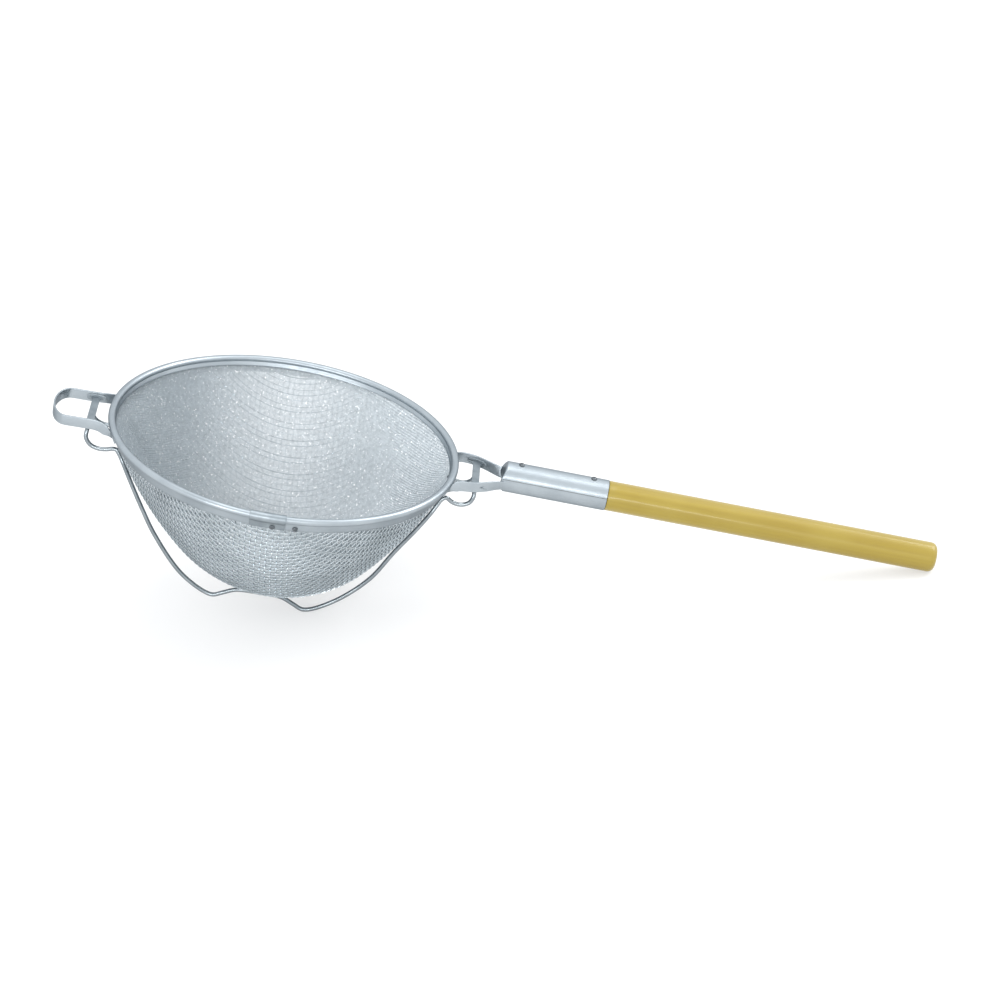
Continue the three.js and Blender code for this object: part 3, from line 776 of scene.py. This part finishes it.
# ---- Wire cradle ----
# One bright wire bent to a closed loop under the bowl. It hangs from both ties, runs down the wall on either
# side, passes below the bottom and is bent down to four feet. At rest the strainer stands on the two by the
# handle and on the handle's end.
CRADLE_WIRE = 0.0016
CRADLE_SIDE = 0.024
CRADLE_BOTTOM = -0.119
TIE_WIRE_LEVEL = -0.0065
CRADLE_STEPS = 10

# These are a quarter of the loop by the handle and one by the hook, each from the bottom out to its tie. The
# other two quarters are their mirror images.
cradle_foot = [
    (0.0170, CRADLE_SIDE, -0.1197),
    (0.0260, CRADLE_SIDE, -0.1236),
    (0.0335, CRADLE_SIDE, -0.1269),
    (0.0410, CRADLE_SIDE, -0.1252),
]
by_handle = np.array(cradle_foot + [
    (0.0600, CRADLE_SIDE, -0.1126),
    (0.0795, CRADLE_SIDE, -0.0918),
    (0.0934, CRADLE_SIDE, -0.0668),
    (0.1074, 0.0235, -0.0439),
    (0.1154, 0.0220, -0.0298),
    (0.1187, 0.0200, -0.0238),
    (0.1212, 0.0188, -0.0194),
    (0.1242, 0.0182, -0.0176),
    (0.1296, 0.0180, -0.0206),
    (0.1360, 0.0180, -0.0213),
    (0.1416, 0.0178, -0.0187),
    (0.1440, 0.0172, -0.0134),
    (0.1438, 0.0148, -0.0094),
    (0.1436, 0.0095, -0.0071),
])
by_hook = np.array(cradle_foot + [
    (0.0600, CRADLE_SIDE, -0.1128),
    (0.0829, CRADLE_SIDE, -0.0849),
    (0.0944, CRADLE_SIDE, -0.0657),
    (0.1041, CRADLE_SIDE, -0.0480),
    (0.1130, 0.0228, -0.0316),
    (0.1152, 0.0216, -0.0282),
    (0.1175, 0.0208, -0.0248),
    (0.1198, 0.0202, -0.0224),
    (0.1228, 0.0200, -0.0224),
    (0.1271, 0.0200, -0.0236),
    (0.1330, 0.0200, -0.0240),
    (0.1390, 0.0200, -0.0219),
    (0.1429, 0.0194, -0.0168),
    (0.1428, 0.0168, -0.0104),
    (0.1426, 0.0110, -0.0073),
])
cradle_line = smooth_line(
    np.concatenate([
        [(0, -CRADLE_SIDE, CRADLE_BOTTOM)],
        by_handle * (1, -1, 1),
        [(by_handle[-1, 0], 0, TIE_WIRE_LEVEL)],
        by_handle[::-1],
        [(0, CRADLE_SIDE, CRADLE_BOTTOM)],
        by_hook * (-1, 1, 1),
        [(-by_hook[-1, 0], 0, TIE_WIRE_LEVEL)],
        by_hook[::-1] * (-1, -1, 1),
    ]),
    CRADLE_STEPS,
    closed=True,
)


def bent_wire(line, radius, sides=20):
    """A round wire along a closed line. The direction from which its circles start is carried on from one
    point to the next with as little turning as can be, and the twist left over is shared out evenly."""
    ahead = np.roll(line, -1, axis=0) - np.roll(line, 1, axis=0)
    ahead /= np.linalg.norm(ahead, axis=1)[:, None]
    start = [np.cross(ahead[0], (0.0, 1.0, 0.0))]
    for direction in (*ahead[1:], ahead[0]):
        carried = start[-1] - direction * (start[-1] @ direction)
        start.append(carried / np.linalg.norm(carried))
    first, last = start[0] / np.linalg.norm(start[0]), start.pop()
    twist = math.atan2(np.cross(last, first) @ ahead[0], last @ first)
    start = np.array(start)
    start /= np.linalg.norm(start, axis=1)[:, None]
    beside = np.cross(ahead, start)
    angle = np.linspace(0, twist, len(line), endpoint=False)[:, None] + full_turn(sides)
    spoke = start[:, None] * np.cos(angle)[..., None] + beside[:, None] * np.sin(angle)[..., None]
    return line[:, None] + spoke * radius


cradle = lay_down(bent_wire(cradle_line, CRADLE_WIRE))
fit("wire_cradle", [(cradle, True)], bright_wire, "tinned_wire", "support_wire")


# ---- Handle socket ----
# Tinned sheet rolled to a tube with a seam along its near side and closed in front to a shallow round collar.
# Two legs of the same sheet swing out from its sides to the rim and end in feet soldered to the band.
SOCKET_LENGTH = 0.078
SOCKET_RADIUS = 0.0114
SOCKET_SHEET = 0.0007
SOCKET_STEPS = 121
SEAM_ANGLE = math.radians(77)
SEAM_GAP = 0.0002
COLLAR_LENGTH = 0.0024
COLLAR_INSET = 0.0110
SEAM_OVER, SEAM_UNDER, SEAM_WIDTH = 0.00028, -0.00012, 0.07
END_ROUNDING = 0.0003
LIP_STEPS, TUBE_STEPS = 12, 60
LEG_CORNER, LEG_CORNER_REACH = 0.0045, 0.012
LEG_CORNER_AT, LEG_CORNER_WIDTH = math.radians(95), 0.75
LEG_STEPS = 10
LEG_JOIN = 0.012
LEG_WRAP = 0.0078
LEG_IN_TUBE = 0.00004
HANDLE_LENGTH = 0.3276
LEG_MIDDLE = -0.003
LEG_SPREAD = 0.0244
handle_along = np.array(mounts["handle_end"]["axis"])
handle_axes = np.stack([handle_along, across, np.cross(handle_along, across)])
socket_front = np.array(mounts["handle_end"]["pos_m"]) - handle_along * HANDLE_LENGTH


def along_handle(points):
    """The socket's front end plus each length along the handle, across it and square to both."""
    return socket_front + points @ handle_axes


# The tube's outer face is a quarter of an oval from the collar's small hole out to the tube's round, and then
# straight to the rear end. Its inner face is the same line, a sheet's thickness further in.
seam_half = SEAM_GAP / 2 / SOCKET_RADIUS
around = np.linspace(0, 1, SOCKET_STEPS)
socket_turns = SEAM_ANGLE + seam_half + around * (2 * np.pi - 2 * seam_half)
lip = np.concatenate([np.linspace(0, np.pi / 2, LIP_STEPS), np.full(TUBE_STEPS - 1, np.pi / 2)])
tube_steps = np.linspace(0, SOCKET_LENGTH - COLLAR_LENGTH - END_ROUNDING, TUBE_STEPS)[1:]
outer_x = COLLAR_LENGTH * (1 - np.cos(lip)) + np.concatenate([np.zeros(LIP_STEPS), tube_steps])
outer_inset = COLLAR_INSET * (1 - np.sin(lip))
inner_x = outer_x + SOCKET_SHEET * np.cos(lip)
inner_inset = outer_inset + SOCKET_SHEET * np.sin(lip)
socket_profile_x = np.concatenate([outer_x, [SOCKET_LENGTH], inner_x[::-1]])
socket_profile_in = np.concatenate([outer_inset, [SOCKET_SHEET / 2], inner_inset[::-1]])

# One edge of the sheet laps over the other at the seam: it stands proud, and the other is pressed in.
from_seam = np.minimum(around, 1 - around) * 2 * np.pi
raised = np.where(around < 0.5, SEAM_OVER, SEAM_UNDER) * np.exp(-((from_seam / SEAM_WIDTH) ** 2))
socket_radii = SOCKET_RADIUS - socket_profile_in[None] + raised[:, None]

# Toward each leg the front edge runs forward into it in a rounded corner.
from_leg = np.abs((socket_turns + np.pi) % (2 * np.pi) - np.pi) - LEG_CORNER_AT
corner = LEG_CORNER * np.exp(-((from_leg / LEG_CORNER_WIDTH) ** 2))[:, None]
corner = corner * np.clip(1 - socket_profile_x / LEG_CORNER_REACH, 0, 1)
corner = corner * (socket_radii / SOCKET_RADIUS) ** 2
tube = np.stack([
    socket_profile_x - corner,
    -socket_radii * np.sin(socket_turns)[:, None],
    socket_radii * np.cos(socket_turns)[:, None],
], axis=-1)


def into_handle(points):
    """Points of the level bowl's frame as lengths along, across and square to the handle."""
    return (lay_down(points) - socket_front) @ handle_axes.T


leg_half = [into_handle(point) for point in foot_points(LEG_SPREAD, 1)] + [
    (-0.0322, 0.0240, -0.0036),
    (-0.0280, 0.0233, LEG_MIDDLE),
    (-0.0200, 0.0216, LEG_MIDDLE),
    (-0.0070, 0.0146, LEG_MIDDLE),
    (0.0, 0.0117, LEG_MIDDLE),
    (0.0030, SOCKET_RADIUS - SOCKET_SHEET / 2, LEG_MIDDLE),
    (0.0080, SOCKET_RADIUS - SOCKET_SHEET / 2, LEG_MIDDLE),
]
leg_line = smooth_line(leg_half, LEG_STEPS)
leg_in_bowl = (socket_front + leg_line @ handle_axes - rim_middle) @ bowl_axes.T
leg_share = foot_share(leg_in_bowl)
leg_up = leg_share * (slope_up(leg_in_bowl) @ bowl_axes @ handle_axes.T) + (1 - leg_share) * (0, 0, 1)
joined = eased(np.clip((leg_line[:, 0] + LEG_JOIN) / LEG_JOIN, 0, 1))
leg_height = leg_share[:, 0] * FOOT_HEIGHT + (1 - leg_share[:, 0]) * STRAP_HEIGHT
leg_thickness = STRAP + (SOCKET_SHEET - LEG_IN_TUBE - STRAP) * joined
leg = strapped(leg_line, leg_up, leg_thickness, leg_height)

# Where the leg joins the tube it is hollowed to the tube's round.
hollow = SOCKET_RADIUS - np.sqrt(SOCKET_RADIUS**2 - np.clip(leg[..., 2], -LEG_WRAP, LEG_WRAP) ** 2)
leg[..., 1] -= hollow * joined[:, None]
socket_skins = [(along_handle(skin), False) for skin in (tube, leg, leg * (1, -1, 1))]
fit("rolled_socket", socket_skins, satin_sheet, "tinned_sheet", "handle_socket")

# The second cross tie spans the legs, in front of the socket.
SOCKET_TIE_AT, SOCKET_TIE_LEVEL = -0.0198, -0.0035
SOCKET_TIE_FILLET = TIE_FILLET * 1.5


def leg_inner_face(x):
    """The leg's middle line, read off at each x beyond its foot, less half the sheet."""
    return np.interp(x, leg_line[LEG_STEPS:, 0], leg_line[LEG_STEPS:, 1]) - STRAP / 2


socket_tie = cross_tie(SOCKET_TIE_AT, SOCKET_TIE_LEVEL, SOCKET_TIE_FILLET, leg_inner_face)
tie_skins = [(along_handle(skin), False) for skin in socket_tie]
fit("socket_cross_tie", tie_skins, dull_sheet, "tinned_sheet", "socket_tie")


# ---- Wooden handle ----
# A turned hardwood stick under mustard-yellow lacquer, driven into the socket on a slimmer neck. Its shoulder
# meets the socket's end, and its far end is rounded with a small flat face.
HANDLE_RADIUS = 0.0111
HANDLE_ROUNDING = 0.005
WOOD_INSET = 0.005
NECK_CHAMFER = 0.0006
END_FACE = 0.3
WOOD_SIDES = 96
SHOULDER_GAP = 0.0001
neck = SOCKET_RADIUS - SOCKET_SHEET - GAP
shoulder = SOCKET_LENGTH + SHOULDER_GAP
round_off = np.linspace(0, np.pi / 2, 12)
grip = np.linspace(shoulder, HANDLE_LENGTH - HANDLE_ROUNDING, 40)[1:-1]

# The profile runs up the neck, out over the softened shoulder and along the grip to a quarter-round end.
wood_profile = np.concatenate([
    [(neck * END_FACE, WOOD_INSET), (neck - NECK_CHAMFER, WOOD_INSET), (neck, WOOD_INSET + NECK_CHAMFER)],
    [(neck, shoulder), (HANDLE_RADIUS - 0.0007, shoulder)],
    [(HANDLE_RADIUS - 0.0003, shoulder + 0.0001), (HANDLE_RADIUS, shoulder + 0.0005)],
    np.column_stack([np.full(len(grip), HANDLE_RADIUS), grip]),
    np.column_stack([
        HANDLE_RADIUS - HANDLE_ROUNDING * (1 - np.cos(round_off)),
        HANDLE_LENGTH - HANDLE_ROUNDING * (1 - np.sin(round_off)),
    ]),
    [(HANDLE_RADIUS * END_FACE, HANDLE_LENGTH)],
])
wood = turned_pin(wood_profile, WOOD_SIDES)[..., [2, 0, 1]]
handle_tilt = math.atan2(-handle_along[2], handle_along[0])
LONG_GRAIN_SCALE = (5.0, 190.0, 190.0)
PORE_SCALE = (90.0, 2400.0, 2400.0)
WOOD_CLOUD_SCALE = 26.0


def lacquered(name, colour, deep, pale):
    """Lacquer over turned wood: rings cut along the stick show as long streaks that go from `colour` to
    `deep`, with short pores, and paler clouds lie over both. The stick's own X runs along the streaks."""
    finish, tree, surface = opened(name)
    surface.inputs["Coat Weight"].default_value = 0.4
    surface.inputs["Coat Roughness"].default_value = 0.12
    place = Feed.node(tree, "TexCoord", output="Object")
    level = Feed.node(tree, "Mapping", None, {"Vector": place, "Rotation": (0.0, -handle_tilt, 0.0)})
    long_grain = Feed.node(tree, "Mapping", None, {"Vector": level, "Scale": LONG_GRAIN_SCALE})
    wavy = {"Vector": long_grain, "Scale": 1.0, "Detail": 6.0, "Distortion": 0.6}
    grain = Feed.node(tree, "TexNoise", None, wavy)
    short_grain = Feed.node(tree, "Mapping", None, {"Vector": level, "Scale": PORE_SCALE})
    pores = Feed.node(tree, "TexNoise", None, {"Vector": short_grain, "Scale": 1.0, "Detail": 2.0})
    cloud = Feed.node(tree, "TexNoise", None, {"Vector": place, "Scale": WOOD_CLOUD_SCALE, "Detail": 3.0})
    streaks = grain.spread(0.38, 0.66)
    dots = pores.spread(0.60, 0.74)
    shade = blended(tree, streaks * 0.5 + dots * 0.35, colour, deep)
    shade = blended(tree, cloud.spread(0.42, 0.70) * 0.45, shade, pale)
    tree.links.new(shade.socket, surface.inputs["Base Color"])
    polish = streaks * 0.10 + cloud * 0.12 + 0.30
    tree.links.new(polish.socket, surface.inputs["Roughness"])
    height = grain * 0.6 - dots * 0.5 + cloud * 1.5
    bump = Feed.node(tree, "Bump", None, {"Strength": 0.25, "Distance": 0.00015, "Height": height})
    tree.links.new(bump.socket, surface.inputs["Normal"])
    return finish


mustard_lacquer = lacquered(
    "mustard_lacquer",
    colour=(0.31, 0.222, 0.016, 1),
    deep=(0.235, 0.158, 0.008, 1),
    pale=(0.34, 0.255, 0.032, 1),
)
fit("turned_handle", [(along_handle(wood), False)], mustard_lacquer, "handle_wood", "handle")


# ---- Socket nails ----
# Two round-headed steel nails hold the wood in the socket. They are driven square through the socket's top,
# one near its front end and one near the wood's shoulder.
NAIL_HEAD, NAIL_DOME, NAIL_SHANK, NAIL_DEPTH = 0.0022, 0.0011, 0.0009, 0.0095
NAIL_POINT, NAIL_TAPER = 0.0001, 0.002
NAIL_SEAT, NAIL_RIM = 0.0001, 0.0002
FRONT_NAIL_AT, REAR_NAIL_AT = 0.012, 0.0663
for name, node, nail_at in (
    ("front_nail", "socket_nail_front", FRONT_NAIL_AT),
    ("rear_nail", "socket_nail_rear", REAR_NAIL_AT),
):
    profile = np.concatenate([
        [(NAIL_POINT, SOCKET_RADIUS - NAIL_DEPTH), (NAIL_SHANK, SOCKET_RADIUS - NAIL_DEPTH + NAIL_TAPER)],
        [(NAIL_SHANK, SOCKET_RADIUS - NAIL_SEAT), (NAIL_HEAD * UNDER_HEAD, SOCKET_RADIUS - NAIL_SEAT)],
        domed(NAIL_HEAD, NAIL_DOME, SOCKET_RADIUS + NAIL_RIM),
    ])
    nail = turned_pin(profile) + (nail_at, 0, 0)
    fit(name, [(along_handle(nail), False)], dark_steel, "tinned_wire", node)


# ---- Floor and light ----
# A pale matt sheet that glows a little, as if lit from below, under a plain sky. A long low strip lamp stands
# in front and a faint square one hangs above. Another beyond the handle lights the bowl's inside by the hook.
FLOOR_RADIUS = 9.0
FLOOR_SIDES = 64
floor_mesh = bpy.data.meshes.new("floor")
turns = full_turn(FLOOR_SIDES)
floor_edge = np.column_stack([np.cos(turns), np.sin(turns), np.zeros(FLOOR_SIDES)]) * FLOOR_RADIUS
floor_mesh.from_pydata(floor_edge.tolist(), [], [range(FLOOR_SIDES)])
floor = bpy.data.objects.new("floor", floor_mesh)
matt, _, matt_surface = opened("matt_floor")
matt_surface.inputs["Base Color"].default_value = (0.42, 0.42, 0.42, 1)
matt_surface.inputs["Roughness"].default_value = 0.9
matt_surface.inputs["Specular IOR Level"].default_value = 0.1
matt_surface.inputs["Emission Color"].default_value = (1, 1, 1, 1)
matt_surface.inputs["Emission Strength"].default_value = 0.52
floor_mesh.materials.append(matt)
scene.collection.objects.link(floor)


def lamp(name, place, width, height, power):
    """An oblong soft lamp that faces the strainer: its sides in metres and its power in watts."""
    made = bpy.data.objects.new(name, bpy.data.lights.new(name, "AREA"))
    made.data.shape = "RECTANGLE"
    made.data.size = width
    made.data.size_y = height
    made.data.energy = power
    made.location = place
    made.rotation_euler = Vector(np.array(place) - aim).to_track_quat("Z", "Y").to_euler()
    scene.collection.objects.link(made)


lamp("key_lamp", (-0.5, -2.0, 0.7), width=2.4, height=0.3, power=18)
lamp("top_lamp", (0.2, 0.1, 2.4), width=1.2, height=1.2, power=10)
lamp("side_lamp", (1.6, 0.7, 1.4), width=1.2, height=1.2, power=20)
world = bpy.data.worlds.new("plain_sky")
world.use_nodes = True
world.node_tree.nodes["Background"].inputs["Color"].default_value = (0.96, 0.98, 1.0, 1)
world.node_tree.nodes["Background"].inputs["Strength"].default_value = 1.35
scene.world = world
scene.view_settings.view_transform = "Standard"
